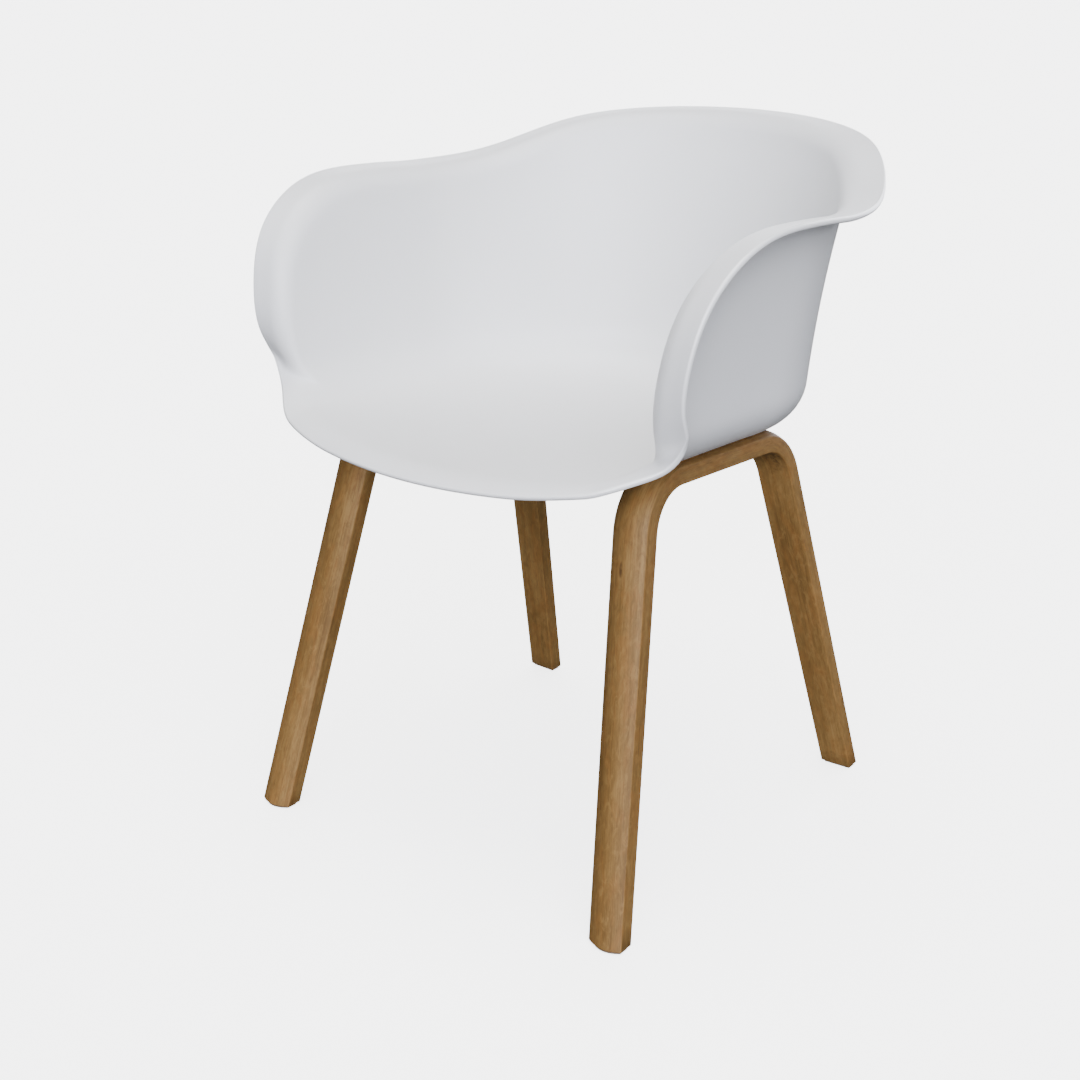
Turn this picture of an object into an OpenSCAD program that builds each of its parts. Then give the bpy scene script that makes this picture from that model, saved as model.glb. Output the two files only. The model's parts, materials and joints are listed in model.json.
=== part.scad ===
// Dining armchair: a one-piece moulded bucket shell on two bent laminated-wood leg frames.
// The sitter faces -Y, the floor is z = 0 and the origin is under the middle of the chair.
// The shell is drawn first as a flat pattern (w), which is then folded up into a tub with a
// flared lip. The frames are D-shaped bars swept along an upside-down U.

/* [Seat shell] */
// Wall thickness of the moulded shell
shell_wall = 5.6; // [4:0.2:7]
// Extra thickness of the shell along its rim
rim_extra = 0.6; // [0:0.1:1.2]
// Size of the eased corners of the rim's end face
rim_ease = 1.3; // [0.5:0.1:2]
// Height of the middle of the seat pan above the floor
pan_height = 445; // [440:1:455]
// Slope of the seat pan down to the back, degrees
pan_pitch = 2; // [1:0.5:3]
// Hollow of the pan towards the back, mm of drop per square mm of depth
pan_dish = 0.00032; // [0.0001:0.00001:0.0004]
// Half width of the pan at the sides
pan_side = 186; // [180:1:192]
// Length of the pan behind the back's centre
pan_back = 171; // [165:1:180]
// Upward turn of the pan before the side corner, degrees
pan_turn_side = 6.5; // [4:0.5:9]
// Upward turn of the pan before the back corner, degrees
pan_turn_back = 7.5; // [4:0.5:10]
// Length of the curved corner between pan and side wall
corner_side = 70; // [64:1:80]
// Length of the curved corner between pan and back
corner_back = 109; // [100:1:118]
// Lean of the side walls from upright, degrees
lean_side = 3.3; // [2:0.1:5]
// Lean of the back from upright, degrees
lean_back = 2.2; // [1:0.1:4]
// Outward curve of the walls, degrees per 100 mm of height
wall_curve = 4.1; // [3:0.1:5]
// Centre of the round of the back, from the middle of the leg frames
back_round = 30; // [24:1:36]

/* [Rim outline] */
// Reach of the front edge on the flat pattern
front_reach = 272; // [268:1:276]
// Radius of the front edge
front_radius = 525; // [500:5:550]
// Half width of the front edge, out to its corners
front_half = 205; // [200:1:210]
// Distance of the notch before each arm from the middle
notch_side = 242; // [238:1:246]
// Reach of the notch before each arm
notch_reach = 182; // [178:1:186]
// Distance from the middle at which an arm's front edge starts
arm_start = 285; // [280:1:290]
// Reach of an arm's front edge
arm_front = 220; // [215:1:225]
// Distance of an arm's top edge from the middle
arm_side = 470; // [464:1:476]
// Drop of the rim between an arm and the back
waist = 35; // [25:1:40]
// Half width of the ellipse that the back's edge follows
back_half = 460; // [440:5:480]
// Rise of that ellipse above its centre
back_rise = 420; // [400:5:440]
// Place of that ellipse's centre
back_centre = 190; // [180:5:200]

/* [Flared lip] */
// Length of wall that is bent outwards along the arms and the back
lip_arm = 50.2; // [46:0.2:54]
// Length of pan that is bent down along the front edge
lip_front = 25; // [18:1:30]
// Length that is bent outwards at the front corners
lip_corner = 18; // [14:1:22]
// Turn of the lip out of the wall, after which it runs on flat, degrees
lip_turn = 72; // [68:1:78]
// Radius of the lip's bend along the arms and the back
bend_arm = 25; // [22:1:28]
// Radius of the lip's bend along the front edge
bend_front = 32; // [30:1:40]

/* [Leg frames] */
// Height of the middle of the top rail
rail_height = 437.6; // [434:0.1:440]
// Distance from the middle plane to the middle of a top rail
rail_half_gap = 175; // [172:1:178]
// Distance from the middle of the rail to each bend's corner point
rail_half_length = 130; // [124:1:136]
// Width of the bar
bar_width = 40.6; // [38:0.2:42]
// Thickness of the bar
bar_thick = 24.4; // [23:0.1:25]
// Height of the rounded outer face of the bar
bar_crown = 6.7; // [5:0.1:8]
// Width of a front foot over the bar's width
front_taper = 0.97; // [0.85:0.01:1]
// Width of a rear foot over the bar's width
rear_taper = 0.9; // [0.85:0.01:1]
// Outward splay of the legs, degrees
splay = 6.7; // [6:0.1:7.5]
// Turn of each frame in plan, front ends apart, degrees
toe_out = 1; // [0:0.1:2]
// Forward rake of the front legs, degrees
front_rake = 13.4; // [12:0.1:15]
// Backward rake of the back legs, degrees
back_rake = 16.1; // [15:0.1:18]
// Slope of the top rail, front end up, degrees
rail_slope = 3; // [2.5:0.1:4]
// Radius of the front bend, at the middle of the bar
front_bend = 62; // [56:1:66]
// Radius of the back bend, at the middle of the bar
back_bend = 60; // [54:1:64]

/* [Cross rails and fastenings] */
// Distance of each cross rail from the middle of the leg frames
cross_offset = 62; // [56:1:66]
// Width of a cross rail
cross_width = 32; // [28:1:36]
// Sheet thickness of a cross rail
cross_sheet = 2.5; // [2:0.1:3]
// Depth of a cross rail's turned-down edges
cross_lip = 12; // [8:1:16]
// Length of the end tab along the leg frame's rail
tab_length = 60; // [56:1:66]
// Distance of the shell's screws from the middle plane
boss_offset = 100; // [90:1:110]
// Height of a screw boss under the pan
boss_height = 6; // [5:0.5:8]
// Diameter of a screw boss
boss_d = 20; // [18:1:24]
// Diameter of the M6 thread
screw_d = 6; // [6:0.5:6]
// Diameter of a threaded insert
insert_d = 9; // [8:0.5:10]
// Height of the glides under the feet
glide_height = 2.5; // [2:0.5:4]

/* [Hidden] */

// The middle of the leg frames lies this far in front of the middle of the whole chair.
frame_y = -41.7;
left = 1;
right = -1;
front = -1;
back = 1;
sides = [left, right];
ends = [front, back];

// Half of the rim on the flat pattern, as the control points of a smooth spline, from the middle
// of the front edge to the middle of the back. The other half is its mirror. The front edge lies on
// a circle, the arm's edges are straight, and the back lies on an ellipse.
function on_front(x) = [x, x * x / (2 * front_radius) - front_reach];
function on_back(angle) = [back_half * sin(angle), back_centre + back_rise * cos(angle)];
rim_half = [on_front(0), on_front(front_half * 0.54), on_front(front_half),
            [notch_side, -notch_reach],
            [arm_start, -arm_front], [arm_start + 60, -arm_front], [arm_side - 55, 20 - arm_front],
            [arm_side, -120], [arm_side, -10], [arm_side, 115],
            [arm_side - waist, 265],
            on_back(54), on_back(27), on_back(0)];
rim_spans = 2 * (len(rim_half) - 1);
rim_points = concat(rim_half, [for (i = [len(rim_half) - 2 : -1 : 1]) [-rim_half[i][0], rim_half[i][1]]]);
// The flat pattern is divided by lines from this point out to the rim.
pattern_centre = [0, 61];
steps_per_span = 4;
around = rim_spans * steps_per_span;
// Rings across the pattern, as [from, to, steps]: pan, corner, wall, the lip's bend and its flat.
ring_zones = [[0, 0.34, 3], [0.34, 0.58, 7], [0.58, 0.86, 4], [0.86, 0.95, 6], [0.95, 1, 2]];
rings = [for (z = ring_zones) for (i = [1 : z[2]]) z[0] + (z[1] - z[0]) * i / z[2]];
// Where the front edge's lip fades into the corner's, and the corner's grows into the arm's.
front_fade = [112, 219];
arm_fade = [198, 273];

crown_steps = 10;
bend_steps = 10;

washer_sheet = 1.2;
washer_d = 12;
hole_d = 6.6;
head_d = 10.5;
head_h = 3.3;
hex_d = 4.6;
shell_insert_l = 8;
rail_insert_l = 12;
bolt_spacing = 44;
bolt_drop = -3.5;
tab_low = -11.5;
tab_high = 4.5;
glide_inset = 3;
glide_screw_d = 3.5;
glide_screw_l = 20;
glide_head_d = 6.4;
glide_head_h = 1.6;
glide_head_z = 0.6;
bumper_d = 12;
bumper_offset = 44;
bumper_seat = 3;
front_bumper_proud = 0.8;
rear_bumper_proud = 1.5;

white = [0.93, 0.94, 0.95];
wood = [0.62, 0.44, 0.28];
steel = [0.10, 0.10, 0.11];
zinc = [0.72, 0.73, 0.75];
brass = [0.78, 0.62, 0.30];
rubber = [0.12, 0.12, 0.12];
nylon = [0.20, 0.19, 0.18];

$fn = 48;

// ---- plain helpers

function mix(a, b, t) = a + (b - a) * t;
function ease(t) = let (u = min(max(t, 0), 1)) u * u * (3 - 2 * u);
function unit(v) = v / norm(v);
function to_degrees(r) = r * 180 / PI;

// ---- seat shell: flat pattern to tub

// Steps along an arc from p = [distance, height, heading], over a length, turning by an angle.
function arc_step(p, length, turn) =
    let (t = abs(turn) < 0.001 ? 0.001 : turn, r = to_degrees(length / t))
    [p[0] + r * (sin(p[2] + t) - sin(p[2])),
     p[1] - r * (cos(p[2] + t) - cos(p[2])),
     p[2] + t];

// The tub's section from its spine outwards: pan, corner and wall. k is 0 at the sides and 1 at
// the middle of the back.
function section(s, k) =
    let (pan = mix(pan_side, pan_back, k),
         corner = mix(corner_side, corner_back, k),
         pan_turn = mix(pan_turn_side, pan_turn_back, k),
         wall = 90 - mix(lean_side, lean_back, k),
         s_pan = min(s, pan),
         s_corner = min(max(s - pan, 0), corner),
         s_wall = max(s - pan - corner, 0),
         p = arc_step([0, 0, 0], s_pan, pan_turn * s_pan / pan),
         c = arc_step(p, s_corner, (wall - pan_turn) * s_corner / corner))
    arc_step(c, s_wall, -wall_curve * s_wall / 100);

function pitched(v) = [v[0],
                       v[1] * cos(pan_pitch) + v[2] * sin(pan_pitch),
                       v[2] * cos(pan_pitch) - v[1] * sin(pan_pitch)];

// The tub's middle surface over the pattern point w, and its outward normal.
function tub(w) =
    let (spine = [0, min(w[1], back_round)],
         s = max(norm(w - spine), 0.001),
         e = (w - spine) / s,
         p = section(s, pow(e[1], 4)),
         at = pitched([p[0] * e[0], spine[1] + p[0] * e[1], p[1]]),
         dish = pan_dish * pow(max(at[1], 0), 2),
         normal = pitched([sin(p[2]) * e[0], sin(p[2]) * e[1], -cos(p[2])]))
    [at + [0, frame_y, pan_height - dish], normal];

// The rim's spline on the flat pattern: place and direction at u, counted in spans.
function rim(u) =
    let (i = floor(u), t = u - i, n = len(rim_points),
         c = [for (k = [-1 : 2]) rim_points[(i + k + n) % n]],
         place = [pow(1 - t, 3), 3 * pow(t, 3) - 6 * t * t + 4, -3 * pow(t, 3) + 3 * t * t + 3 * t + 1,
                  pow(t, 3)] / 6,
         slope = [-pow(1 - t, 2), 3 * t * t - 4 * t, -3 * t * t + 2 * t + 1, t * t] / 2)
    [place * c, slope * c];

function fade(x, limits) = ease((abs(x) - limits[0]) / (limits[1] - limits[0]));
function lip_length(b) =
    b[1] > 0 ? lip_arm
             : lip_corner + (lip_arm - lip_corner) * fade(b[0], arm_fade)
                          + (lip_front - lip_corner) * (1 - fade(b[0], front_fade));
function bend_radius(b) =
    b[1] > 0 ? bend_arm : mix(bend_front, bend_arm, fade(b[0], [front_fade[1], arm_fade[1]]));

// The shell's middle surface: u goes round the rim, v from the pattern's centre out to it.
function shell_middle(u, v) =
    let (r = rim(u),
         spoke = r[0] - pattern_centre,
         outward = unit(unit([r[1][1], -r[1][0]]) + unit(spoke)),
         into_lip = max(lip_length(r[0]) - (1 - v) * (spoke * outward), 0),
         radius = bend_radius(r[0]),
         angle = min(to_degrees(into_lip / radius), lip_turn),
         flat = into_lip - radius * angle * PI / 180,
         along = radius * sin(angle) + flat * cos(angle),
         t = tub(pattern_centre + v * spoke + outward * (along - into_lip)))
    t[0] + t[1] * (radius * (1 - cos(angle)) + flat * sin(angle));

// Rows of points that wrap the shell: inner face from the pan out, end face, outer face back in.
function shell_rows() =
    let (last = len(rings) - 1,
         middle = [for (v = rings) [for (i = [0 : around - 1]) shell_middle(i / steps_per_span, v)]],
         outward = [for (j = [0 : last]) [for (i = [0 : around - 1])
             let (along = middle[j][(i + 1) % around] - middle[j][(i + around - 1) % around],
                  across = middle[min(j + 1, last)][i] - middle[max(j - 1, 0)][i])
             unit(cross(along, across))]],
         edge = [for (i = [0 : around - 1]) unit(middle[last][i] - middle[last - 1][i])],
         half = (shell_wall + rim_extra) / 2,
         end_face = [[rim_ease, -half], [2 * rim_ease, rim_ease - half],
                     [2 * rim_ease, half - rim_ease], [rim_ease, half]])
    concat(
        [for (j = [0 : last]) middle[j] - outward[j] * shell_wall / 2],
        [for (p = end_face)
            middle[last] + [for (i = [0 : around - 1]) edge[i] * p[0] + outward[last][i] * p[1]]],
        [for (j = [last : -1 : 0]) middle[j] + outward[j] * shell_wall / 2]);

module shell_skin() {
    rows = shell_rows();
    centre = tub(pattern_centre);
    n = around;
    count = len(rows) * n;
    points = concat([for (row = rows) each row],
                    [centre[0] - centre[1] * shell_wall / 2, centre[0] + centre[1] * shell_wall / 2]);
    bands = [for (j = [0 : len(rows) - 2]) for (i = [0 : n - 1])
        let (a = j * n + i, b = j * n + (i + 1) % n, c = b + n, d = a + n,
             short_way = norm(points[a] - points[c]) < norm(points[b] - points[d]))
        each short_way ? [[a, b, c], [a, c, d]] : [[a, b, d], [b, c, d]]];
    inner_fan = [for (i = [0 : n - 1]) [count, (i + 1) % n, i]];
    outer_fan = [for (i = [0 : n - 1]) [count + 1, count - n + i, count - n + (i + 1) % n]];
    polyhedron(points,
               faces = concat(bands, inner_fan, outer_fan), convexity = 8);
}

// Height of the pan's underside at a screw boss.
function pan_underside(end) = tub([boss_offset, end * cross_offset])[0][2] - shell_wall / 2;
function boss_foot(end) = pan_underside(end) - boss_height;

module at_bosses(end_list = ends) {
    for (end = end_list)
        for (side = sides)
            translate([side * boss_offset, frame_y + end * cross_offset, boss_foot(end)]) children();
}

module seat_shell() {
    color(white)
        difference() {
            union() {
                shell_skin();
                at_bosses() cylinder(d = boss_d, h = boss_height + shell_wall / 2);
            }
            at_bosses() translate([0, 0, -1]) cylinder(d = insert_d, h = shell_insert_l + 1);
        }
}

// ---- leg frames: a frame's own axes are n across the bar, u along the rail and v up

// D-shaped outline of the bar as [n, q], q towards the rounded outer face.
function bar_outline(inset = 0) =
    let (w = bar_width - 2 * inset, t = bar_thick - 2 * inset, c = bar_crown)
    concat([[-w / 2, -t / 2]],
           [for (i = [0 : crown_steps]) let (x = 2 * i / crown_steps - 1)
               [x * w / 2, t / 2 - c * x * x]],
           [[w / 2, -t / 2]]);

front_corner = [-rail_half_length, rail_half_length * tan(rail_slope)];
back_corner = -front_corner;
// Direction of the outer face, in degrees from +u towards +v, on each straight stretch.
back_leg_face = back_rake;
rail_face = 90 - rail_slope;
front_leg_face = 180 - front_rake;

function face_dir(a) = [cos(a), sin(a)];
function run_dir(a) = [-sin(a), cos(a)];

// A bend between two straight stretches that meet at a corner point: [place, face] stations.
function bend(corner, from, to, radius) =
    let (centre = corner - radius / cos((to - from) / 2) * face_dir((from + to) / 2))
    [for (i = [0 : bend_steps]) let (a = mix(from, to, i / bend_steps))
        [centre + radius * face_dir(a), a]];

function foot_place(corner, a) =
    let (d = run_dir(a), drop = -rail_height / cos(splay) - corner[1]) corner + d * drop / d[1];

function leg_face(end) = end == front ? front_leg_face : back_leg_face;
function leg_foot(end) = foot_place(end == front ? front_corner : back_corner, leg_face(end));

// Slides a point of the foot along the leg until it is at height z above the floor.
function cut_at(p, a, z) =
    let (d = run_dir(a), v = (z - rail_height - p[0] * sin(splay)) / cos(splay))
    [p[0], p[1] + d[0] * (v - p[2]) / d[1], v];

function bar_ring(station, outline, width_scale = 1) =
    [for (o = outline)
        let (c = station[0] + o[1] * face_dir(station[1])) [o[0] * width_scale, c[0], c[1]]];

function foot_ring(end, z, inset = 0) =
    let (face = leg_face(end), taper = end == front ? front_taper : rear_taper)
    [for (p = bar_ring([leg_foot(end), face], bar_outline(inset), taper)) cut_at(p, face, z)];

module swept(rows) {
    n = len(rows[0]);
    last = (len(rows) - 1) * n;
    polyhedron([for (row = rows) each row],
               faces = concat([[for (i = [n - 1 : -1 : 0]) i]],
                              [[for (i = [0 : n - 1]) last + i]],
                              [for (j = [0 : len(rows) - 2]) for (i = [0 : n - 1])
                                  let (a = j * n + i, b = j * n + (i + 1) % n, c = b + n, d = a + n)
                                  each [[a, b, c], [a, c, d]]]),
               convexity = 6);
}

module place_frame(side) {
    mirror([side == left ? 0 : 1, 0, 0])
        translate([rail_half_gap, frame_y, rail_height]) rotate([0, -splay, toe_out]) children();
}

// On the rail at a distance behind its middle: x across the bar, y along the rail, z up.
module at_rail(s) {
    translate([0, s * cos(rail_slope), -s * sin(rail_slope)]) rotate([-rail_slope, 0, 0]) children();
}

module at_bolts(end_list = ends) {
    for (end = end_list)
        at_rail(end * cross_offset)
            for (along = [-1, 1])
                translate([-bar_width / 2, along * bolt_spacing / 2, bolt_drop])
                    rotate([0, 90, 0]) children();
}

module at_bumpers(end_list = ends) {
    for (end = end_list)
        at_rail(end * bumper_offset) translate([0, 0, bar_thick / 2 - bumper_seat]) children();
}

// A place in the frame's own axes, in the chair's axes, on the left.
function in_chair(p) =
    let (x = p[0] * cos(splay) - p[2] * sin(splay), z = p[0] * sin(splay) + p[2] * cos(splay))
    [rail_half_gap + x * cos(toe_out) - p[1] * sin(toe_out),
     frame_y + x * sin(toe_out) + p[1] * cos(toe_out),
     rail_height + z];

function foot_point(end, z) =
    let (foot = leg_foot(end)) in_chair(cut_at([0, foot[0], foot[1]], leg_face(end), z));

module at_feet(side_list = sides, end_list = ends) {
    for (side = side_list)
        for (end = end_list)
            translate([side * foot_point(end, 0)[0], foot_point(end, 0)[1], 0]) children();
}

module leg_frame(side) {
    rows = concat([foot_ring(back, glide_height)],
                  [for (s = bend(back_corner, back_leg_face, rail_face, back_bend))
                      bar_ring(s, bar_outline())],
                  [for (s = bend(front_corner, rail_face, front_leg_face, front_bend))
                      bar_ring(s, bar_outline())],
                  [foot_ring(front, glide_height)]);
    color(wood)
        difference() {
            place_frame(side)
                difference() {
                    swept(rows);
                    at_bolts() translate([0, 0, -1]) cylinder(d = insert_d, h = rail_insert_l + 1);
                    at_bumpers() cylinder(d = bumper_d, h = bumper_seat + 1);
                }
            at_feet([side]) cylinder(d = glide_screw_d, h = glide_screw_l);
        }
}

module left_leg_frame() { leg_frame(left); }
module right_leg_frame() { leg_frame(right); }

// ---- cross rails: pressed steel channels between the leg frames

module cross_rail(end) {
    top = boss_foot(end);
    y = frame_y + end * cross_offset;
    half = in_chair([-(bar_width + cross_sheet) / 2, end * cross_offset, 0])[0];
    color(steel)
        difference() {
            union() {
                translate([-half, y - cross_width / 2, top - cross_sheet])
                    cube([2 * half, cross_width, cross_sheet]);
                for (along = [0, 1])
                    translate([-half + cross_lip, y - cross_width / 2 + along * (cross_width - cross_sheet),
                               top - cross_lip])
                        cube([2 * (half - cross_lip), cross_sheet, cross_lip]);
                for (side = sides)
                    place_frame(side) at_rail(end * cross_offset)
                        translate([-bar_width / 2 - cross_sheet, -tab_length / 2, tab_low])
                            cube([cross_sheet, tab_length, tab_high - tab_low]);
            }
            for (side = sides)
                place_frame(side) at_bolts([end]) translate([0, 0, -cross_lip / 2])
                    cylinder(d = hole_d, h = cross_lip / 2 + 1);
            at_bosses([end]) translate([0, 0, -cross_lip]) cylinder(d = hole_d, h = cross_lip + 1);
        }
}

module front_cross_rail() { cross_rail(front); }
module rear_cross_rail() { cross_rail(back); }

// ---- small pieces

// A threaded insert standing on z = 0.
module insert(length) {
    color(brass)
        difference() {
            cylinder(d = insert_d, h = length);
            translate([0, 0, -1]) cylinder(d = screw_d, h = length + 2);
        }
}

// A button-head screw: its head's seat is z = 0 and its thread goes up.
module button_screw(length) {
    color(zinc)
        difference() {
            union() {
                cylinder(d = screw_d, h = length);
                translate([0, 0, -head_h / 2]) cylinder(d = head_d, h = head_h / 2);
                translate([0, 0, -head_h]) cylinder(d1 = head_d * 0.7, d2 = head_d, h = head_h / 2);
            }
            translate([0, 0, -head_h - 1]) cylinder(d = hex_d, h = 1 + head_h * 0.6, $fn = 6);
        }
}

module washer() {
    color(zinc)
        difference() {
            cylinder(d = washer_d, h = washer_sheet);
            translate([0, 0, -1]) cylinder(d = hole_d, h = washer_sheet + 2);
        }
}

module shell_inserts() { at_bosses() insert(shell_insert_l); }
module shell_washers() { at_bosses() translate([0, 0, -cross_sheet - washer_sheet]) washer(); }
module shell_screws() {
    seat = cross_sheet + washer_sheet;
    at_bosses() translate([0, 0, -seat]) button_screw(seat + shell_insert_l - 1);
}

module rail_inserts() { for (side = sides) place_frame(side) at_bolts() insert(rail_insert_l); }
module frame_washers() {
    for (side = sides)
        place_frame(side) at_bolts() translate([0, 0, -cross_sheet - washer_sheet]) washer();
}
module frame_bolts() {
    seat = cross_sheet + washer_sheet;
    for (side = sides)
        place_frame(side) at_bolts() translate([0, 0, -seat]) button_screw(seat + rail_insert_l - 1);
}

// A nylon glide under one foot, with a countersunk screw hole.
module glide(side, end) {
    levels = end == front ? [glide_height, 0] : [0, glide_height];
    color(nylon)
        difference() {
            place_frame(side)
                swept([for (z = levels) foot_ring(end, z, glide_inset)]);
            at_feet([side], [end]) glide_screw_form(0.05);
        }
}

// The screw that holds a glide, with a little room round it when it cuts its own hole.
module glide_screw_form(room = 0) {
    translate([0, 0, glide_head_z]) {
        cylinder(d = glide_screw_d + 2 * room, h = glide_screw_l - glide_head_z - 1);
        cylinder(d1 = glide_head_d + 2 * room, d2 = glide_screw_d + 2 * room, h = glide_head_h);
    }
    if (room > 0)
        translate([0, 0, -1]) cylinder(d = glide_head_d + 2 * room, h = 1 + glide_head_z);
}

module front_left_glide() { glide(left, front); }
module front_right_glide() { glide(right, front); }
module rear_left_glide() { glide(left, back); }
module rear_right_glide() { glide(right, back); }
module glide_screws() { color(zinc) at_feet() glide_screw_form(); }

// A rubber bumper let into the top of a rail, under the shell.
module bumper(side, end) {
    proud = end == front ? front_bumper_proud : rear_bumper_proud;
    color(rubber) place_frame(side) at_bumpers([end]) cylinder(d = bumper_d, h = bumper_seat + proud);
}

module front_left_bumper() { bumper(left, front); }
module front_right_bumper() { bumper(right, front); }
module rear_left_bumper() { bumper(left, back); }
module rear_right_bumper() { bumper(right, back); }

seat_shell();
left_leg_frame();
right_leg_frame();
front_cross_rail();
rear_cross_rail();
front_left_glide();
front_right_glide();
rear_left_glide();
rear_right_glide();
front_left_bumper();
front_right_bumper();
rear_left_bumper();
rear_right_bumper();
shell_inserts();
shell_screws();
shell_washers();
rail_inserts();
frame_bolts();
frame_washers();
glide_screws();
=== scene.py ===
import json
import math

import bpy
import numpy as np
from mathutils import Matrix, Vector


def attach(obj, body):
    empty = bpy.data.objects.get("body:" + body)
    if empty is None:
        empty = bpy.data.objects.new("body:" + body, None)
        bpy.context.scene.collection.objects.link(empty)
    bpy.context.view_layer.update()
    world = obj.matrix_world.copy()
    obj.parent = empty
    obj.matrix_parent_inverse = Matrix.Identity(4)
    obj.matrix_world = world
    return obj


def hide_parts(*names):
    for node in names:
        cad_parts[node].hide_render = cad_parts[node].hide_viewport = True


# A dining armchair: a moulded bucket shell on two bent laminated-wood leg frames.
# Everything is in metres in the chair's frame: the sitter faces -Y, z = 0 is the floor.

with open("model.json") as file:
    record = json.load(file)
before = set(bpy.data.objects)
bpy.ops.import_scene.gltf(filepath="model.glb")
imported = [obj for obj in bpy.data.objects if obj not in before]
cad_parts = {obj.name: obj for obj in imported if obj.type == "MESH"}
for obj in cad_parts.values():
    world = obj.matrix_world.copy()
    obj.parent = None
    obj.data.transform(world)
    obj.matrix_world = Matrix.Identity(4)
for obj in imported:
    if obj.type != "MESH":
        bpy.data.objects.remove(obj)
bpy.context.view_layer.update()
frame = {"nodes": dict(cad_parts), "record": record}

MM = 0.001
FRAME_Y = -41.7


# ---------------------------------------------------------------- helpers

def mix(a, b, t):
    return a + (b - a) * t


def ease(t):
    t = np.clip(t, 0.0, 1.0)
    return t * t * (3 - 2 * t)


def unit(v):
    return v / np.maximum(np.linalg.norm(v, axis=-1, keepdims=True), 1e-12)


def mesh_object(name, points_mm, faces, smooth_angle=None):
    mesh = bpy.data.meshes.new(name)
    mesh.from_pydata([tuple(p) for p in np.asarray(points_mm) * MM], [], faces)
    mesh.validate()
    mesh.polygons.foreach_set("use_smooth", [True] * len(mesh.polygons))
    if smooth_angle is not None:
        mesh.set_sharp_from_angle(angle=math.radians(smooth_angle))
    obj = bpy.data.objects.new(name, mesh)
    bpy.context.scene.collection.objects.link(obj)
    return obj


# ---------------------------------------------------------------- seat shell: the surface

WALL = 5.6
# What the wall gains on each side along the rim, and where on the way out that starts.
RIM_GAIN, RIM_GAIN_START = 0.35, 0.97
PITCH = math.radians(2.0)
PAN_HEIGHT = 445.0
PAN_DISH = 0.00032
BACK_ROUND = 30.0
# Lengths and angles of the tub's section, at the sides and at the back.
PAN_LENGTH = (186.0, 171.0)
PAN_TURN = (6.5, 7.5)
CORNER_LENGTH = (70.0, 109.0)
WALL_LEAN = (3.3, 2.2)
# Degrees by which each 100 mm of the wall curves outwards.
WALL_CURVE = 4.1
# Outline of the flat pattern: front edge, notch before the arm, arm, waist and back.
FRONT_REACH, FRONT_RADIUS, FRONT_HALF = 272.0, 525.0, 205.0
NOTCH_SIDE, NOTCH_REACH = 242.0, 182.0
ARM_START, ARM_FRONT, ARM_SIDE, WAIST = 285.0, 220.0, 470.0, 35.0
BACK_HALF, BACK_RISE, BACK_CENTRE = 460.0, 420.0, 190.0


def on_front(x):
    """A point of the front edge, which lies on a circle."""
    return x, x * x / (2 * FRONT_RADIUS) - FRONT_REACH


def on_back(degrees):
    """A point of the back's edge, which lies on an ellipse."""
    angle = math.radians(degrees)
    return BACK_HALF * math.sin(angle), BACK_CENTRE + BACK_RISE * math.cos(angle)


# Half of the rim on the flat pattern, as the control points of a smooth spline.
RIM_HALF = [on_front(0), on_front(FRONT_HALF * 0.54), on_front(FRONT_HALF),
            (NOTCH_SIDE, -NOTCH_REACH),
            (ARM_START, -ARM_FRONT), (ARM_START + 60, -ARM_FRONT),
            (ARM_SIDE - 55, 20 - ARM_FRONT),
            (ARM_SIDE, -120), (ARM_SIDE, -10), (ARM_SIDE, 115), (ARM_SIDE - WAIST, 265),
            on_back(54), on_back(27), on_back(0)]
RIM = np.array(RIM_HALF + [(-x, y) for x, y in RIM_HALF[-2:0:-1]], float)
# The lip's width along the arms and back, at the front corners and at the front's middle, the
# radius of its bend on the arms and at the front, and the angle at which it runs on flat.
LIP_ARM, LIP_CORNER, LIP_FRONT = 50.2, 18, 25
BEND_ARM, BEND_FRONT = 25.0, 32.0
LIP_TURN = math.radians(72)
# Distances from the middle between which the front's lip fades out and the arm's fades in.
FRONT_FADE, ARM_FADE = (112, 219), (198, 273)
PATTERN_CENTRE = np.array([0.0, 61.0])


def arc_step(r, z, heading, length, turn):
    """One arc of the shell's section: a length that turns by an angle in radians."""
    turn = np.where(np.abs(turn) < 1e-5, 1e-5, turn)
    radius = length / turn
    return (r + radius * (np.sin(heading + turn) - np.sin(heading)),
            z - radius * (np.cos(heading + turn) - np.cos(heading)),
            heading + turn)


def section(s, k):
    """The tub from its spine outwards: pan, corner, wall. k is 0 at the sides, 1 at the back."""
    pan, corner = mix(*PAN_LENGTH, k), mix(*CORNER_LENGTH, k)
    pan_turn = np.radians(mix(*PAN_TURN, k))
    wall = np.radians(90 - mix(*WALL_LEAN, k))
    s_pan = np.minimum(s, pan)
    s_corner = np.clip(s - pan, 0, corner)
    s_wall = np.maximum(s - pan - corner, 0)
    zero = np.zeros_like(s)
    at = arc_step(zero, zero, zero, s_pan, pan_turn * s_pan / pan)
    at = arc_step(*at, s_corner, (wall - pan_turn) * s_corner / corner)
    return arc_step(*at, s_wall, -np.radians(WALL_CURVE) * s_wall / 100)


def pitched(x, y, z):
    return np.stack([x, y * math.cos(PITCH) + z * math.sin(PITCH),
                     z * math.cos(PITCH) - y * math.sin(PITCH)], -1)


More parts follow.
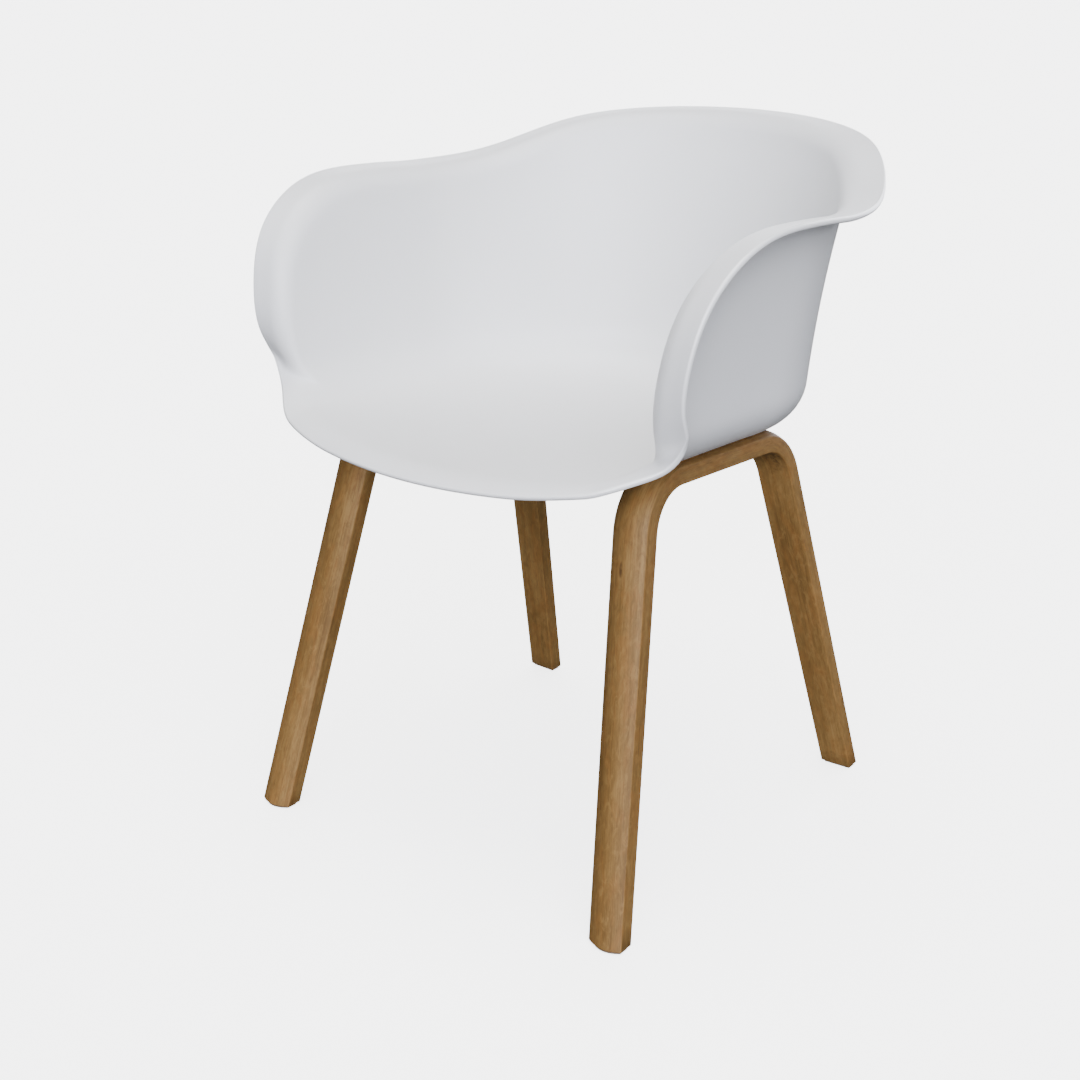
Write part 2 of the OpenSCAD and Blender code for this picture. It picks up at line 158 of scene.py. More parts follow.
def tub(w):
    """Place and outward normal of the shell's middle surface over the flat pattern's point w."""
    x, y = w[..., 0], w[..., 1]
    spine = np.minimum(y, BACK_ROUND)
    s = np.maximum(np.hypot(x, y - spine), 1e-3)
    ex, ey = x / s, (y - spine) / s
    r, z, heading = section(s, ey ** 4)
    at = pitched(r * ex, spine + r * ey, z)
    dish = PAN_DISH * np.maximum(at[..., 1], 0) ** 2
    at = at + np.stack([np.zeros_like(dish), np.full_like(dish, FRAME_Y), PAN_HEIGHT - dish], -1)
    return at, pitched(np.sin(heading) * ex, np.sin(heading) * ey, -np.cos(heading))


def rim(u):
    """The rim's spline on the flat pattern at u, counted in spans: place and direction."""
    i = np.floor(u).astype(int)
    t = u - i
    c = [RIM[(i + k - 1) % len(RIM)] for k in range(4)]
    place = [(1 - t) ** 3, 3 * t ** 3 - 6 * t * t + 4, -3 * t ** 3 + 3 * t * t + 3 * t + 1, t ** 3]
    slope = [-(1 - t) ** 2, 3 * t * t - 4 * t, -3 * t * t + 2 * t + 1, t * t]
    return (sum(a[..., None] * p for a, p in zip(place, c)) / 6,
            sum(a[..., None] * p for a, p in zip(slope, c)) / 2)


def shell_middle(u, v):
    """The shell's middle surface: u round the rim, v from the pattern's centre out to it."""
    b, d = rim(u)
    spoke = b - PATTERN_CENTRE
    outward = unit(unit(np.stack([d[..., 1], -d[..., 0]], -1)) + unit(spoke))
    x, ahead = np.abs(b[..., 0]), b[..., 1] <= 0
    arm = ease((x - ARM_FADE[0]) / (ARM_FADE[1] - ARM_FADE[0]))
    front = 1 - ease((x - FRONT_FADE[0]) / (FRONT_FADE[1] - FRONT_FADE[0]))
    bend = ease((x - FRONT_FADE[1]) / (ARM_FADE[1] - FRONT_FADE[1]))
    width = LIP_CORNER + (LIP_ARM - LIP_CORNER) * arm + (LIP_FRONT - LIP_CORNER) * front
    lip = np.where(ahead, width, LIP_ARM)
    radius = np.where(ahead, mix(BEND_FRONT, BEND_ARM, bend), BEND_ARM)
    rolled = np.maximum(lip - (1 - v) * np.sum(spoke * outward, -1), 0)
    # The lip bends outwards as far as its turn, and runs on flat from there to the rim.
    angle = np.minimum(rolled / radius, LIP_TURN)
    flat = rolled - radius * angle
    along = radius * np.sin(angle) + flat * np.cos(angle)
    w = PATTERN_CENTRE + v[..., None] * spoke + outward * (along - rolled)[..., None]
    at, normal = tub(w)
    return at + normal * (radius * (1 - np.cos(angle)) + flat * np.sin(angle))[..., None]


def surface_normal(u, v):
    """Outward normal of the middle surface, by small steps on it."""
    du, dv = 0.02, 0.002
    along = shell_middle(u + du, v) - shell_middle(u - du, v)
    across = shell_middle(u, np.minimum(v + dv, 1.0)) - shell_middle(u, v - dv)
    return unit(np.cross(along, across))


# ---------------------------------------------------------------- seat shell: the mesh

PER_SPAN = 12
HUB = 0.34
# Rings of the mesh: where each zone starts and ends on the way out, and how many it has.
ZONES = [(HUB, 0.58, 20), (0.58, 0.86, 22), (0.86, 0.955, 26), (0.955, 1.0, 8)]
# How far the rim's end face stands out, and the radius of its rounded corners.
RIM_REACH, RIM_SOFT = 2.9, 2.7


def shell_mesh():
    """A closed skin of quads: a square patch on the pan, rings from there to the rim, the rim's
    end face, and the same again on the outside. Returns its points and faces, and the first and
    the past-the-last point of the end face."""
    spans = len(RIM)
    n = spans * PER_SPAN
    patch = n // 4
    u_ring = np.arange(n) / PER_SPAN
    rings = [HUB] + [a + (b - a) * (i + 1) / k for a, b, k in ZONES for i in range(k)]

    points, faces = [], []

    def half(v):
        return WALL / 2 + RIM_GAIN * ease((v - RIM_GAIN_START) / 0.03)

    def skin(side):
        """The patch and the rings on one side: -1 inside, 1 outside. Returns the last ring."""
        base = len(points)
        grid = np.linspace(-1, 1, patch + 1)
        a, b = np.meshgrid(grid, grid, indexing="ij")
        r = np.maximum(np.abs(a), np.abs(b))
        # Where each point of the square lies round the ring, starting at the front middle.
        safe = np.maximum(r, 1e-9)
        in_front, on_right, behind = b <= -r + 1e-12, a >= r - 1e-12, b >= r - 1e-12
        turn = np.select([in_front, on_right, behind],
                         [a / safe / 8, 0.25 + b / safe / 8, 0.5 - a / safe / 8],
                         0.75 - b / safe / 8)
        u = (turn % 1.0) * spans
        v = HUB * r
        at = shell_middle(u, v)
        normal = tub(PATTERN_CENTRE + v[..., None] * (rim(u)[0] - PATTERN_CENTRE))[1]
        normal[..., 1] += 2 * PAN_DISH * np.maximum(at[..., 1] - FRAME_Y, 0) * normal[..., 2]
        pts = at + side * unit(normal) * half(v)[..., None]
        points.extend(pts.reshape(-1, 3))

        def cell(i, j):
            return base + i * (patch + 1) + j

        for i in range(patch):
            for j in range(patch):
                q = [cell(i, j), cell(i + 1, j), cell(i + 1, j + 1), cell(i, j + 1)]
                faces.append(q if side < 0 else q[::-1])
        # The square's edge in the order of the ring.
        m = patch // 2
        previous = [cell(m + i, 0) for i in range(m)]
        previous += [cell(patch, j) for j in range(patch)]
        previous += [cell(patch - i, patch) for i in range(patch)]
        previous += [cell(0, patch - j) for j in range(patch)]
        previous += [cell(i, 0) for i in range(m)]
        for v_ring in rings[1:]:
            v_here = np.full(n, v_ring)
            start = len(points)
            points.extend(shell_middle(u_ring, v_here)
                          + side * surface_normal(u_ring, v_here) * half(v_here)[..., None])
            ring = list(range(start, start + n))
            join(previous, ring, side > 0)
            previous = ring
        return previous

    def join(lower, upper, flip):
        for i in range(n):
            k = (i + 1) % n
            q = [lower[i], lower[k], upper[k], upper[i]]
            faces.append(q if flip else q[::-1])

    inner = skin(-1)
    outer = skin(1)
    face_start = len(points)
    last = shell_middle(u_ring, np.ones(n))
    edge_out = unit(last - shell_middle(u_ring, np.full(n, 0.997)))
    normal = surface_normal(u_ring, np.ones(n))
    # The rim's end face: nearly half round.
    half_edge = half(np.ones(n))[0]
    arc = [(RIM_REACH - RIM_SOFT + RIM_SOFT * math.sin(a),
            half_edge - RIM_SOFT + RIM_SOFT * math.cos(a)) for a in np.linspace(0, math.pi / 2, 9)]
    profile = [(e, -h) for e, h in arc] + [(RIM_REACH, 0.0)] + arc[::-1]
    previous = inner
    for e, h in profile:
        start = len(points)
        points.extend(last + edge_out * e + normal * h)
        ring = list(range(start, start + n))
        join(previous, ring, False)
        previous = ring
    join(previous, outer, False)
    return points, faces, (face_start, len(points))


def add_lathe(points, faces, profile, place, steps=40):
    """A turned ring: profile is (radius, height) pairs round its section, placed in millimetres."""
    base = len(points)
    for radius, height in profile:
        for i in range(steps):
            t = 2 * math.pi * i / steps
            points.append(np.array([radius * math.cos(t), radius * math.sin(t), height]) + place)
    rows = len(profile)
    for j in range(rows):
        for i in range(steps):
            a, b = base + j * steps, base + (j + 1) % rows * steps
            k = (i + 1) % steps
            faces.append([a + i, a + k, b + k, b + i])


points, faces, end_face = shell_mesh()

# Screw bosses under the pan, with a filleted root that runs into the wall.
BOSS_X, CROSS_Y, BOSS_H, BOSS_D, INSERT_D = 100.0, 62.0, 6.0, 20.0, 9.0
BOSS_TOP, ROOT_START, ROOT_RADIUS = 7.6, 3.5, 3


def boss_profile():
    """A boss's section as (radius, height) pairs, from the insert's hole round to the root."""
    r = BOSS_D / 2
    profile = [(INSERT_D / 2, BOSS_TOP), (INSERT_D / 2, 0.0),
               (r - 0.6, 0.0), (r - 0.2, 0.2), (r, 0.6), (r, ROOT_START)]
    profile += [(r + ROOT_RADIUS * (1 - math.cos(t)), ROOT_START + ROOT_RADIUS * math.sin(t))
                for t in np.linspace(0.2, 1.5, 7)]
    return profile + [(r + ROOT_RADIUS, BOSS_TOP)]


for end in (-1, 1):
    under = tub(np.array([BOSS_X, end * CROSS_Y]))[0][2] - WALL / 2
    for side in (-1, 1):
        place = np.array([side * BOSS_X, FRAME_Y + end * CROSS_Y, under - BOSS_H])
        add_lathe(points, faces, boss_profile(), place)

shell = mesh_object("seat_shell_moulding", points, faces, 60)
# Mask of the rim's end face, where the shell material paints a highlight and adds a glossy coat.
on_rim = np.zeros(len(points), np.float32)
on_rim[end_face[0]:end_face[1]] = 1.0
shell.data.attributes.new("rim", "FLOAT", "POINT").data.foreach_set("value", on_rim)


# ---------------------------------------------------------------- leg frames

RAIL_HEIGHT, RAIL_HALF_GAP, RAIL_HALF_LENGTH = 437.6, 175.0, 130.0
BAR_W, BAR_T, CROWN, FRONT_TAPER, REAR_TAPER = 40.6, 24.4, 6.7, 0.97, 0.90
SPLAY, TOE = math.radians(6.7), math.radians(1.0)
SLOPE = math.radians(3.0)
# Where the bar's outer face points on the front leg, the back leg and the rail.
FRONT_FACE, REAR_FACE = math.radians(180 - 13.4), math.radians(16.1)
RAIL_FACE = math.radians(90) - SLOPE
FRONT_BEND, REAR_BEND = 62.0, 60.0
GLIDE = 2.5
# The chamfer round each foot, and the radii of the bar's inner and outer edges.
FOOT_EASE = 1.2
INNER_EDGE, OUTER_EDGE = 1.4, 1.7
# How far the right frame's grain is moved from the left one's, in metres.
GRAIN_SHIFT = 0.37


def face_dir(a):
    return np.array([math.cos(a), math.sin(a)])


def run_dir(a):
    return np.array([-math.sin(a), math.cos(a)])


def rounded(corners, steps=5):
    """A closed outline with its corners rounded: corners are (x, y, radius), counter-clockwise."""
    out = []
    n = len(corners)
    for i in range(n):
        p0, p, p1 = (np.array(corners[(i + k) % n][:2], float) for k in (-1, 0, 1))
        radius = corners[i][2]
        if radius <= 0:
            out.append(p)
            continue
        a, b = unit(p0 - p), unit(p1 - p)
        half_angle = math.acos(max(-1, min(1, float(a @ b)))) / 2
        reach = radius / math.tan(half_angle)
        centre = p + unit(a + b) * radius / math.sin(half_angle)
        start, end = p + a * reach - centre, p + b * reach - centre
        for k in range(steps + 1):
            t = k / steps
            d = start * (1 - t) + end * t
            out.append(centre + unit(d) * radius)
    return np.array(out)


def bar_outline(inset=0.0):
    """The bar's D-shaped outline as (n, q), q towards its rounded outer face."""
    w, t, c = BAR_W / 2 - inset, BAR_T / 2 - inset, CROWN
    crown = [(x * w, t - c * x * x, 0.0) for x in np.linspace(0.8, -0.8, 17)]
    return rounded([(-w, -t, INNER_EDGE), (w, -t, INNER_EDGE), (w, t - c, OUTER_EDGE)]
                   + crown + [(-w, t - c, OUTER_EDGE)])


def leg_frame(name, mirror):
    """One bent bar: back leg, rail and front leg, swept from foot to foot with the grain's
    coordinates kept at each point."""
    front_corner = np.array([-RAIL_HALF_LENGTH, RAIL_HALF_LENGTH * math.tan(SLOPE)])
    rear_corner = -front_corner

    def bend(corner, a0, a1, radius, steps=28):
        centre = corner - radius / math.cos((a1 - a0) / 2) * face_dir((a0 + a1) / 2)
        return [(centre + radius * face_dir(a), a) for a in np.linspace(a0, a1, steps + 1)]

    def foot(corner, a):
        d = run_dir(a)
        return corner + d * (-RAIL_HEIGHT / math.cos(SPLAY) - corner[1]) / d[1]

    rear = bend(rear_corner, REAR_FACE, RAIL_FACE, REAR_BEND)
    fore = bend(front_corner, RAIL_FACE, FRONT_FACE, FRONT_BEND)
    rear_foot, fore_foot = foot(rear_corner, REAR_FACE), foot(front_corner, FRONT_FACE)

    def straight(a, b, face, count, w0, w1):
        return [(mix(a, b, k / count), face, mix(w0, w1, k / count)) for k in range(count + 1)]

    stations = straight(rear_foot, rear[0][0], REAR_FACE, 16, REAR_TAPER, 1.0)
    stations += [(p, a, 1.0) for p, a in rear[1:]]
    stations += straight(rear[-1][0], fore[0][0], RAIL_FACE, 8, 1.0, 1.0)[1:]
    stations += [(p, a, 1.0) for p, a in fore[1:]]
    stations += straight(fore[-1][0], fore_foot, FRONT_FACE, 16, 1.0, FRONT_TAPER)[1:]

    outline = bar_outline()
    closed = bar_outline(FOOT_EASE)
    n = len(outline)
    rows, grain = [], []
    run = 0.0
    last_place = stations[0][0]

    def ring(place, face, scale, shape):
        pts = []
        for nn, q in shape:
            c = place + q * face_dir(face)
            pts.append([nn * scale, c[0], c[1]])
        return pts

    def level(pts, face, z):
        """Slides the ring's points along the leg until they lie at a height above the floor."""
        d = run_dir(face)
        out = []
        for p in pts:
            v = (z - RAIL_HEIGHT - p[0] * math.sin(SPLAY)) / math.cos(SPLAY)
            out.append([p[0], p[1] + d[0] * (v - p[2]) / d[1], v])
        return out

    for i, (place, face, scale) in enumerate(stations):
        run += float(np.linalg.norm(place - last_place))
        last_place = place
        if i == 0 or i == len(stations) - 1:
            ends = [level(ring(place, face, scale, closed), face, GLIDE),
                    level(ring(place, face, scale, outline), face, GLIDE + FOOT_EASE)]
            if i:
                ends.reverse()
            for e in ends:
                rows.append(e)
                grain += [(nn, q, run) for nn, q in outline]
        else:
            rows.append(ring(place, face, scale, outline))
            grain += [(nn, q, run) for nn, q in outline]

    flat = np.array([p for row in rows for p in row])
    # Frame's own axes to the chair's: splay about Y, toe about Z, then out to the side.
    x = flat[:, 0] * math.cos(SPLAY) - flat[:, 2] * math.sin(SPLAY)
    z = flat[:, 0] * math.sin(SPLAY) + flat[:, 2] * math.cos(SPLAY)
    y = flat[:, 1]
    pts = np.stack([RAIL_HALF_GAP + x * math.cos(TOE) - y * math.sin(TOE),
                    FRAME_Y + x * math.sin(TOE) + y * math.cos(TOE),
                    RAIL_HEIGHT + z], -1)
    faces = []
    for j in range(len(rows) - 1):
        for i in range(n):
            k = (i + 1) % n
            faces.append([j * n + i, j * n + k, (j + 1) * n + k, (j + 1) * n + i])
    faces.append(list(range(n))[::-1])
    faces.append([(len(rows) - 1) * n + i for i in range(n)])
    if mirror:
        pts[:, 0] *= -1
        faces = [f[::-1] for f in faces]
    obj = mesh_object(name, pts, faces, 50)
    shift = GRAIN_SHIFT if mirror else 0.0
    data = np.array(grain) * MM + np.array([shift, shift * 0.3, shift * 2.1])
    layer = obj.data.attributes.new("grain", "FLOAT_VECTOR", "POINT")
    layer.data.foreach_set("vector", data.astype(np.float32).ravel())
    return obj


left_bar = leg_frame("left_leg_frame_wood", False)
right_bar = leg_frame("right_leg_frame_wood", True)


# ---------------------------------------------------------------- materials

class Shader:
    """A small helper over a material's node tree."""

    def __init__(self, name):
        self.material = bpy.data.materials.new(name)
        self.material.use_nodes = True
        self.tree = self.material.node_tree
        self.bsdf = self.tree.nodes["Principled BSDF"]

    def node(self, kind, **inputs):
        node = self.tree.nodes.new(kind)
        for key, value in inputs.items():
            if key in node.inputs:
                self.feed(node.inputs[key], value)
            else:
                setattr(node, key, value)
        return node

    def feed(self, socket, value):
        if isinstance(value, bpy.types.NodeSocket):
            self.tree.links.new(value, socket)
        else:
            socket.default_value = value

    def set(self, **inputs):
        for key, value in inputs.items():
            self.feed(self.bsdf.inputs[key.replace("_", " ")], value)

    def coords(self, scale=(1, 1, 1), source=None):
        if source is None:
            source = self.tree.nodes.new("ShaderNodeTexCoord").outputs["Object"]
        m = self.tree.nodes.new("ShaderNodeMapping")
        self.feed(m.inputs["Vector"], source)
        m.inputs["Scale"].default_value = scale
        return m.outputs["Vector"]

    def noise(self, vector, scale, detail=3.0, rough=0.5, distortion=0.0):
        n = self.tree.nodes.new("ShaderNodeTexNoise")
        self.feed(n.inputs["Vector"], vector)
        n.inputs["Scale"].default_value = scale
        n.inputs["Detail"].default_value = detail
        n.inputs["Roughness"].default_value = rough
        n.inputs["Distortion"].default_value = distortion
        return n.outputs["Fac"]

    def math(self, operation, a, b=0.0, clamp=False):
        m = self.tree.nodes.new("ShaderNodeMath")
        m.operation = operation
        m.use_clamp = clamp
        self.feed(m.inputs[0], a)
        self.feed(m.inputs[1], b)
        return m.outputs[0]

    def remap(self, value, a, b, c, d):
        m = self.tree.nodes.new("ShaderNodeMapRange")
        self.feed(m.inputs["Value"], value)
        for key, x in zip(("From Min", "From Max", "To Min", "To Max"), (a, b, c, d)):
            m.inputs[key].default_value = x
        return m.outputs["Result"]

    def ramp(self, value, stops):
        r = self.tree.nodes.new("ShaderNodeValToRGB")
        self.feed(r.inputs["Fac"], value)
        e = r.color_ramp.elements
        while len(e) < len(stops):
            e.new(0.5)
        for element, (at, colour) in zip(e, stops):
            element.position = at
            element.color = (*colour, 1.0)
        return r.outputs["Color"]

    def blend(self, factor, a, b, mode="MIX"):
        m = self.tree.nodes.new("ShaderNodeMix")
        m.data_type = "RGBA"
        m.blend_type = mode
        self.feed(m.inputs["Factor"], factor)
        self.feed(m.inputs["A"], a if isinstance(a, bpy.types.NodeSocket) else (*a, 1.0))
        self.feed(m.inputs["B"], b if isinstance(b, bpy.types.NodeSocket) else (*b, 1.0))
        return m.outputs["Result"]

    def bump(self, height, distance, strength=1.0, after=None):
        b = self.tree.nodes.new("ShaderNodeBump")
        b.inputs["Distance"].default_value = distance
        b.inputs["Strength"].default_value = strength
        self.feed(b.inputs["Height"], height)
        if after is not None:
            self.feed(b.inputs["Normal"], after)
        return b.outputs["Normal"]


def shell_material():
    s = Shader("shell_plastic")
    p = s.coords()
    flow = s.noise(p, 7.0, 3.0, 0.5)
    fine = s.noise(p, 1900.0, 2.0, 0.6)
    orange_peel = s.noise(p, 320.0, 1.0, 0.4)
    # The rim's end face is painted paler, a painted highlight along the rim, and gets a glossy coat
    # as if polished at the mould's parting line.
    rim_highlight = s.node("ShaderNodeAttribute", attribute_name="rim").outputs["Fac"]
    tone = s.ramp(flow, [(0.3, (0.838, 0.842, 0.852)), (0.7, (0.856, 0.860, 0.868))])
    satin = s.remap(flow, 0.3, 0.7, 0.40, 0.46)
    speckle = s.remap(fine, 0.3, 0.7, -0.03, 0.03)
    texture = s.math("ADD", s.math("MULTIPLY", fine, 0.5), orange_peel)
    # The paler colour blended in on the rim's end face is a painted highlight.
    s.set(Base_Color=s.blend(rim_highlight, tone, (0.955, 0.958, 0.965)),
          Coat_Weight=rim_highlight, Coat_Roughness=0.22, Coat_IOR=1.6,
          Roughness=s.math("ADD", satin, speckle),
          Normal=s.bump(texture, 0.00003, 0.6),
          IOR=1.49)
    return s.material


# Wood, from its darkest to its lightest tone, then its dark figure and small knots: where each
# lies along the bar and across it, its half lengths, its threshold and its strength.
WOOD_TONES = [(0.38, (0.128, 0.067, 0.019)), (0.47, (0.184, 0.102, 0.031)),
              (0.54, (0.220, 0.124, 0.040)), (0.62, (0.286, 0.168, 0.058))]
WOOD_DARK = (0.070, 0.034, 0.013)
WOOD_WARM = (0.242, 0.112, 0.030)
WOOD_MARKS = [(0.450, 0.007, 0.040, 0.016, 0.46, 0.75), (0.769, -0.004, 0.009, 0.0022, 0.25, 0.85),
              (0.560, 0.012, 0.006, 0.002, 0.25, 0.7)]
# Thickness of one veneer of the laminated bar, in metres.
VENEER = 0.00203


def wood_material():
    s = Shader("bent_wood")
    at = s.node("ShaderNodeAttribute", attribute_name="grain").outputs["Vector"]
    parts = s.node("ShaderNodeSeparateXYZ")
    s.feed(parts.inputs[0], at)
    n, q, run = parts.outputs["X"], parts.outputs["Y"], parts.outputs["Z"]
    # Slow wander of the figure, then streaks, fibres and short pores drawn out along the bar.
    wander = s.noise(s.coords((22, 22, 4.5), at), 1.0, 2.0, 0.5)
    streak = s.noise(s.coords((210, 210, 5.0), at), 1.0, 4.0, 0.6, 0.3)
    fibre = s.noise(s.coords((900, 900, 26), at), 1.0, 3.0, 0.6)
    pores = s.noise(s.coords((1150, 1150, 75), at), 1.0, 2.0, 0.55)
    mottle = s.noise(s.coords((150, 150, 75), at), 1.0, 4.0, 0.65, 1.2)
    tone = s.math("ADD", s.math("MULTIPLY", wander, 0.40),
                  s.math("ADD", s.math("MULTIPLY", streak, 0.35), s.math("MULTIPLY", fibre, 0.25)))
    colour = s.ramp(tone, WOOD_TONES)
    warmth = s.noise(s.coords((75, 75, 24), at), 1.0, 3.0, 0.6, 0.8)
    colour = s.blend(s.remap(warmth, 0.46, 0.62, 0.0, 0.45), colour, WOOD_WARM)
    shade = s.noise(s.coords((170, 170, 60), at), 1.0, 4.0, 0.7, 1.0)
    colour = s.blend(s.remap(shade, 0.50, 0.68, 0.0, 0.45), colour, WOOD_TONES[0][1])
    colour = s.blend(s.remap(shade, 0.36, 0.48, 0.40, 0.0), colour, WOOD_TONES[3][1])
    # Dark flecks, a small knot on a front leg, and the dark figure inside a rear bend.
    colour = s.blend(s.remap(pores, 0.56, 0.72, 0.0, 0.40), colour, WOOD_DARK)
    for place_run, place_n, half_run, half_n, low, strength in WOOD_MARKS:
        along = s.math("DIVIDE", s.math("SUBTRACT", run, place_run), half_run)
        across = s.math("DIVIDE", s.math("SUBTRACT", n, place_n), half_n)
        reach = s.math("ADD", s.math("POWER", along, 2.0), s.math("POWER", across, 2.0))
        inside = s.remap(reach, 0.15, 1.0, strength, 0.0)
        figure = s.remap(mottle, low, low + 0.14, 0.0, 1.0)
        colour = s.blend(s.math("MULTIPLY", inside, figure), colour, WOOD_DARK)
    # Glue lines between the veneers.
    layer = s.math("FRACT", s.math("MULTIPLY", s.math("ADD", q, 0.5), 1 / VENEER))
    line = s.math("LESS_THAN", s.math("ABSOLUTE", s.math("SUBTRACT", layer, 0.5)), 0.05)
    colour = s.blend(s.math("MULTIPLY", line, 0.12), colour, WOOD_DARK)
    open_grain = s.math("SUBTRACT", s.math("MULTIPLY", fibre, 0.5),
                        s.remap(pores, 0.58, 0.7, 0.0, 1.0))
    s.set(Base_Color=colour,
          Roughness=s.remap(fibre, 0.3, 0.7, 0.50, 0.64),
          Normal=s.bump(open_grain, 0.00005, 0.5),
          Specular_IOR_Level=0.24)
    return s.material


def powder_material():
    s = Shader("black_steel")
    p = s.coords()
    grit = s.noise(p, 1300.0, 2.0, 0.6)
    tones = [(0.3, (0.018, 0.018, 0.019)), (0.7, (0.026, 0.026, 0.028))]
    s.set(Base_Color=s.ramp(s.noise(p, 40.0), tones),
          Roughness=s.remap(grit, 0.3, 0.7, 0.45, 0.62),
          Normal=s.bump(grit, 0.00008, 0.5))
    return s.material


def metal_material(name, colour, roughness):
    s = Shader(name)
    p = s.coords()
    worn = s.noise(p, 220.0, 3.0, 0.6)
    darker = tuple(c * 0.72 for c in colour)
    s.set(Base_Color=s.blend(s.remap(worn, 0.3, 0.7, 0.0, 0.35), colour, darker),
          Roughness=s.remap(worn, 0.3, 0.7, roughness - 0.06, roughness + 0.1),
          Metallic=1.0,
          Normal=s.bump(s.noise(p, 2400.0, 1.0), 0.00002, 0.4))
    return s.material


def moulded_material(name, dark, light, roughness):
    s = Shader(name)
    p = s.coords()
    s.set(Base_Color=s.ramp(s.noise(p, 90.0), [(0.3, dark), (0.7, light)]),
          Roughness=s.remap(s.noise(p, 700.0, 2.0), 0.3, 0.7, roughness - 0.05, roughness + 0.08),
          Normal=s.bump(s.noise(p, 1600.0, 2.0), 0.00004, 0.5))
    return s.material


MATERIALS = {
    "shell_plastic": shell_material(),
    "bent_wood": wood_material(),
    "black_steel": powder_material(),
    "zinc_steel": metal_material("zinc_steel", (0.60, 0.61, 0.63), 0.34),
    "insert_brass": metal_material("insert_brass", (0.72, 0.50, 0.20), 0.36),
    "glide_nylon": moulded_material("glide_nylon", (0.150, 0.100, 0.060),
                                    (0.180, 0.125, 0.078), 0.5),
    "bumper_rubber": moulded_material("bumper_rubber", (0.018, 0.018, 0.018),
                                      (0.028, 0.028, 0.028), 0.7),
}


def finish_piece(obj, slot):
    obj.data.materials.clear()
    obj.data.materials.append(MATERIALS[slot])


# The pieces made here stand in for the CAD bodies of the same nodes.
REPLACED = {"seat_shell": (shell, "shell_plastic"),
            "left_leg_frame": (left_bar, "bent_wood"),
            "right_leg_frame": (right_bar, "bent_wood")}
for node, (obj, slot) in REPLACED.items():
    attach(obj, "root")
    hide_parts(node)
    finish_piece(obj, slot)

# The other nodes keep their CAD bodies, with a small bevel on their sharp edges.
BEVEL_WIDTH, BEVEL_ANGLE = 0.0003, math.radians(40)
slots = {part["node"]: part["material_slot"] for part in frame["record"]["subparts"]}
for name, obj in frame["nodes"].items():
    if name in REPLACED:
        continue
    finish_piece(obj, slots[name])
    bevel = obj.modifiers.new("soft edges", "BEVEL")
    bevel.width = BEVEL_WIDTH
    bevel.segments = 2
    bevel.limit_method = "ANGLE"
    bevel.angle_limit = BEVEL_ANGLE


# ---------------------------------------------------------------- stage, light and camera

FLOOR_RADIUS = 30.0
# Just under the glides, whose soles are at z = 0.
FLOOR_LEVEL = -0.2
FLOOR_GLOW = 3.6
WORLD_LIGHT, WORLD_BACKDROP = 0.06, 5.5
SUN_SPREAD = math.radians(40)


def stage_floor():
    """A pale disc that the camera sees as glowing faintly, but that lights nothing."""
    steps = 96
    turns = [2 * math.pi * i / steps for i in range(steps)]
    pts = [(0, 0, FLOOR_LEVEL)] + [(FLOOR_RADIUS * 1000 * math.cos(t),
                                    FLOOR_RADIUS * 1000 * math.sin(t), FLOOR_LEVEL) for t in turns]
    fan = [[0, 1 + i, 1 + (i + 1) % steps] for i in range(steps)]
    obj = mesh_object("studio_floor", pts, fan)
    s = Shader("studio_floor")
    s.set(Base_Color=(0.90, 0.90, 0.90, 1.0), Roughness=0.9,
          Emission_Color=(1.0, 1.0, 1.0, 1.0), Emission_Strength=FLOOR_GLOW)
    obj.data.materials.append(s.material)
    obj.visible_diffuse = False
    obj.visible_glossy = False


def direction(azimuth, elevation):
    """A unit vector away from the chair: azimuth from its front towards its left, in radians."""
    return Vector((math.sin(azimuth) * math.cos(elevation),
                   -math.cos(azimuth) * math.cos(elevation), math.sin(elevation)))


def sun_light(name, azimuth, elevation, energy, colour):
    """A broad, soft light from an azimuth and an elevation in degrees."""
    towards = direction(math.radians(azimuth), math.radians(elevation))
    data = bpy.data.lights.new(name, "SUN")
    data.energy = energy
    data.color = colour
    data.angle = SUN_SPREAD
    obj = bpy.data.objects.new(name, data)
    bpy.context.scene.collection.objects.link(obj)
    obj.rotation_euler = towards.to_track_quat("Z", "Y").to_euler()


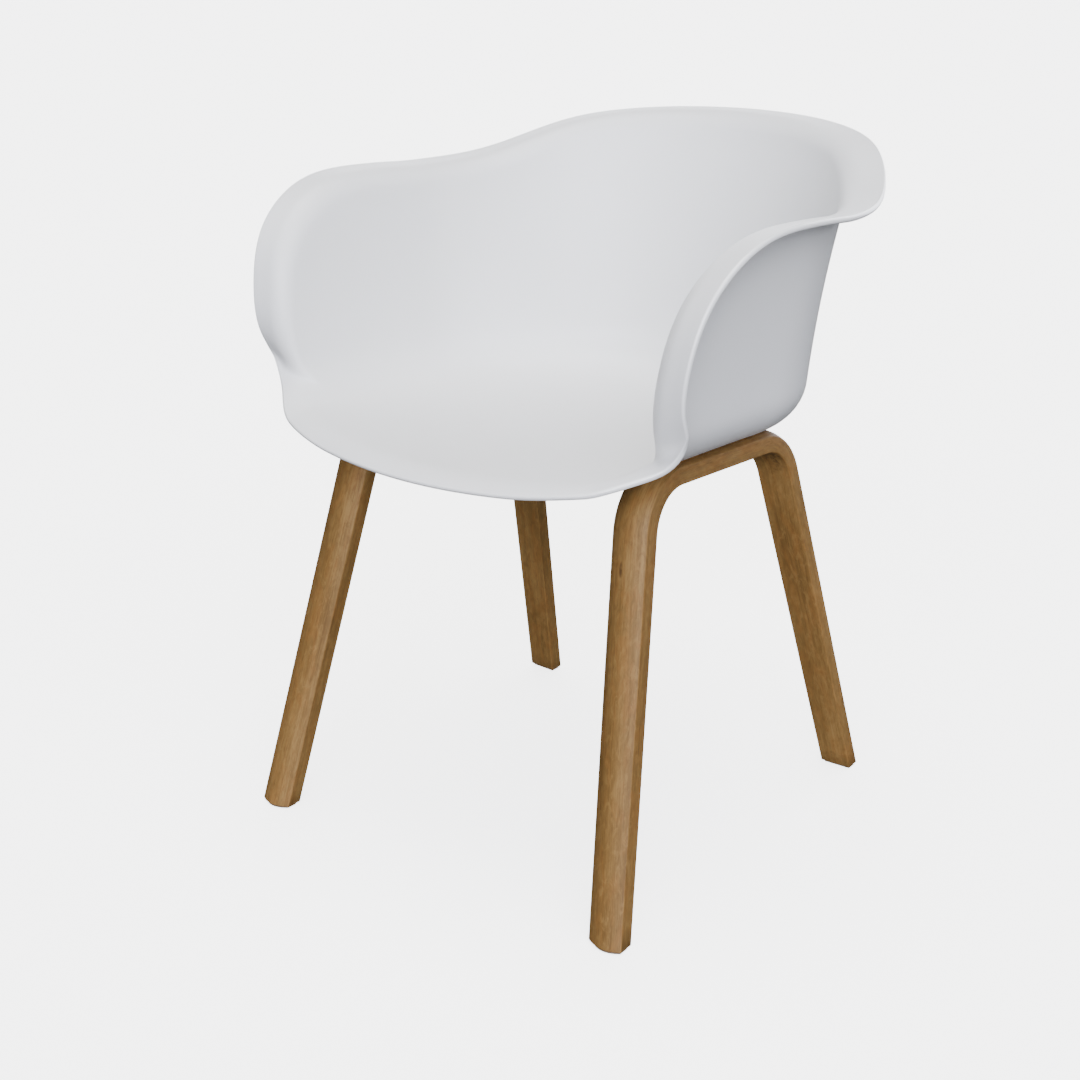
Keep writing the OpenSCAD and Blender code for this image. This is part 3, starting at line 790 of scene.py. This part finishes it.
def studio_world(light, backdrop):
    """A dim world for the light, which the camera sees as the bright backdrop behind the floor."""
    world = bpy.data.worlds.new("studio")
    world.use_nodes = True
    tree = world.node_tree
    rays = tree.nodes.new("ShaderNodeLightPath")
    strength = tree.nodes.new("ShaderNodeMapRange")
    strength.inputs["To Min"].default_value = light
    strength.inputs["To Max"].default_value = backdrop
    tree.links.new(rays.outputs["Is Camera Ray"], strength.inputs["Value"])
    background = tree.nodes["Background"]
    background.inputs["Color"].default_value = (1.0, 1.0, 1.0, 1.0)
    tree.links.new(strength.outputs["Result"], background.inputs["Strength"])
    bpy.context.scene.world = world


stage_floor()
studio_world(WORLD_LIGHT, WORLD_BACKDROP)
# A key light in front, two fills at a third of it, a light overhead and two weaker ones behind.
KEY = 4.2
DAYLIGHT, WARM = (0.90, 0.92, 1.0), (1.0, 0.98, 0.92)
sun_light("front_key", 40, 15, KEY, DAYLIGHT)
sun_light("front_fill", 20, 30, KEY / 3, DAYLIGHT)
sun_light("side_fill", 70, 50, KEY / 3, DAYLIGHT)
sun_light("overhead", 0, 90, KEY * 2 / 3, WARM)
sun_light("rear_left", -135, 10, KEY / 2, DAYLIGHT)
sun_light("rear", 180, 10, KEY / 2, DAYLIGHT)


CAMERA_AZIMUTH, CAMERA_ELEVATION, CAMERA_ROLL = 37.80, 19.97, 0.48
CAMERA_TARGET = (126.4, -222.3 + FRAME_Y, 408.0)
CAMERA_DISTANCE = 1599.5


def photo_camera():
    azimuth, elevation, roll = (math.radians(d) for d in
                                (CAMERA_AZIMUTH, CAMERA_ELEVATION, CAMERA_ROLL))
    target = Vector(CAMERA_TARGET) * MM
    back = direction(azimuth, elevation)
    right = Vector((math.cos(azimuth), math.sin(azimuth), 0))
    up = back.cross(right)
    right, up = (right * math.cos(roll) + up * math.sin(roll),
                 up * math.cos(roll) - right * math.sin(roll))
    data = bpy.data.cameras.new("photo_camera")
    data.lens = 56.52
    data.sensor_width = 36.0
    data.shift_x, data.shift_y = 0.0038, -0.0084
    obj = bpy.data.objects.new("photo_camera", data)
    bpy.context.scene.collection.objects.link(obj)
    turn = Matrix((right, up, back)).transposed()
    place = target + back * CAMERA_DISTANCE * MM
    obj.matrix_world = Matrix.Translation(place) @ turn.to_4x4()
    bpy.context.scene.camera = obj


photo_camera()
